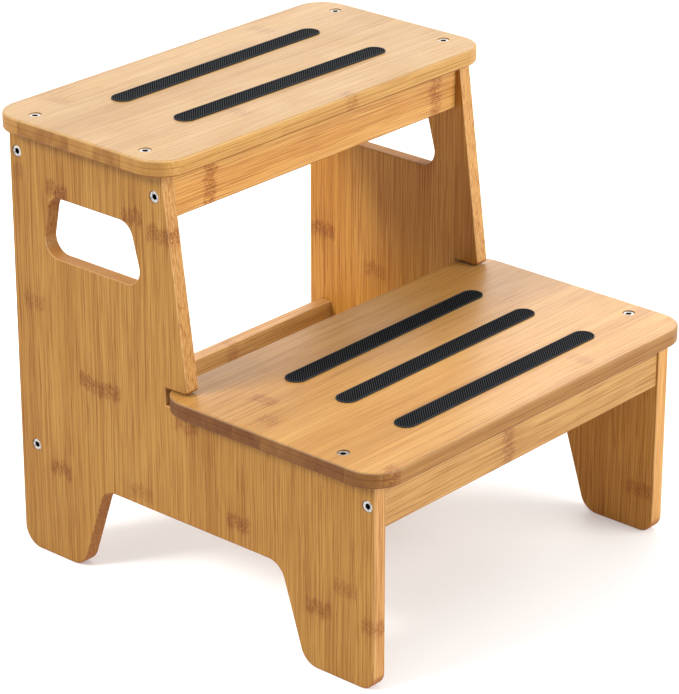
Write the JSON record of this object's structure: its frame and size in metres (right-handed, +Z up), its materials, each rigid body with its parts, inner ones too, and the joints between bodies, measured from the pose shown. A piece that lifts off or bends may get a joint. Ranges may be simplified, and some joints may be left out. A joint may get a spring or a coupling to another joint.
{
  "type": "step stool",
  "caption": "Two-step wooden stool with handle holes through its side panels, arched feet, cross rails and ribbed black grip strips on both treads.",
  "frame": {"origin": "on the floor, midway across the stool and midway between the upper tread's rear edge and the lower tread's front edge", "axes": "+Z up, +Y towards the back of the stool, -Y towards the person stepping on, +X to that person's right"},
  "size_m": [0.36, 0.3732, 0.3509],
  "materials": {
    "panel_bamboo": "vertical-grain laminated bamboo, satin clear lacquer",
    "tread_bamboo": "laminated bamboo with the grain across the stool, satin clear lacquer",
    "rail_bamboo": "bamboo bar with the grain along it, satin clear lacquer",
    "grip_rubber": "matt black with fine cross ribs",
    "screw_steel": "bright zinc plate"
  },
  "bodies": {
    "root": {"left_side_panel": "panel_bamboo", "right_side_panel": "panel_bamboo", "upper_tread": "tread_bamboo", "lower_tread": "tread_bamboo", "upper_front_rail": "rail_bamboo", "upper_rear_rail": "rail_bamboo", "lower_front_rail": "rail_bamboo", "lower_rear_rail": "rail_bamboo", "upper_rear_grip_strip": "grip_rubber", "upper_front_grip_strip": "grip_rubber", "lower_rear_grip_strip": "grip_rubber", "lower_middle_grip_strip": "grip_rubber", "lower_front_grip_strip": "grip_rubber", "left_upper_front_rail_screw": "screw_steel", "left_upper_rear_rail_screw": "screw_steel", "left_lower_front_rail_screw": "screw_steel", "left_lower_rear_rail_screw": "screw_steel", "left_upper_tread_rear_screw": "screw_steel", "left_upper_tread_front_screw": "screw_steel", "left_lower_tread_screw": "screw_steel", "right_upper_front_rail_screw": "screw_steel", "right_upper_rear_rail_screw": "screw_steel", "right_lower_front_rail_screw": "screw_steel", "right_lower_rear_rail_screw": "screw_steel", "right_upper_tread_rear_screw": "screw_steel", "right_upper_tread_front_screw": "screw_steel", "right_lower_tread_screw": "screw_steel"}
  },
  "joints": []
}
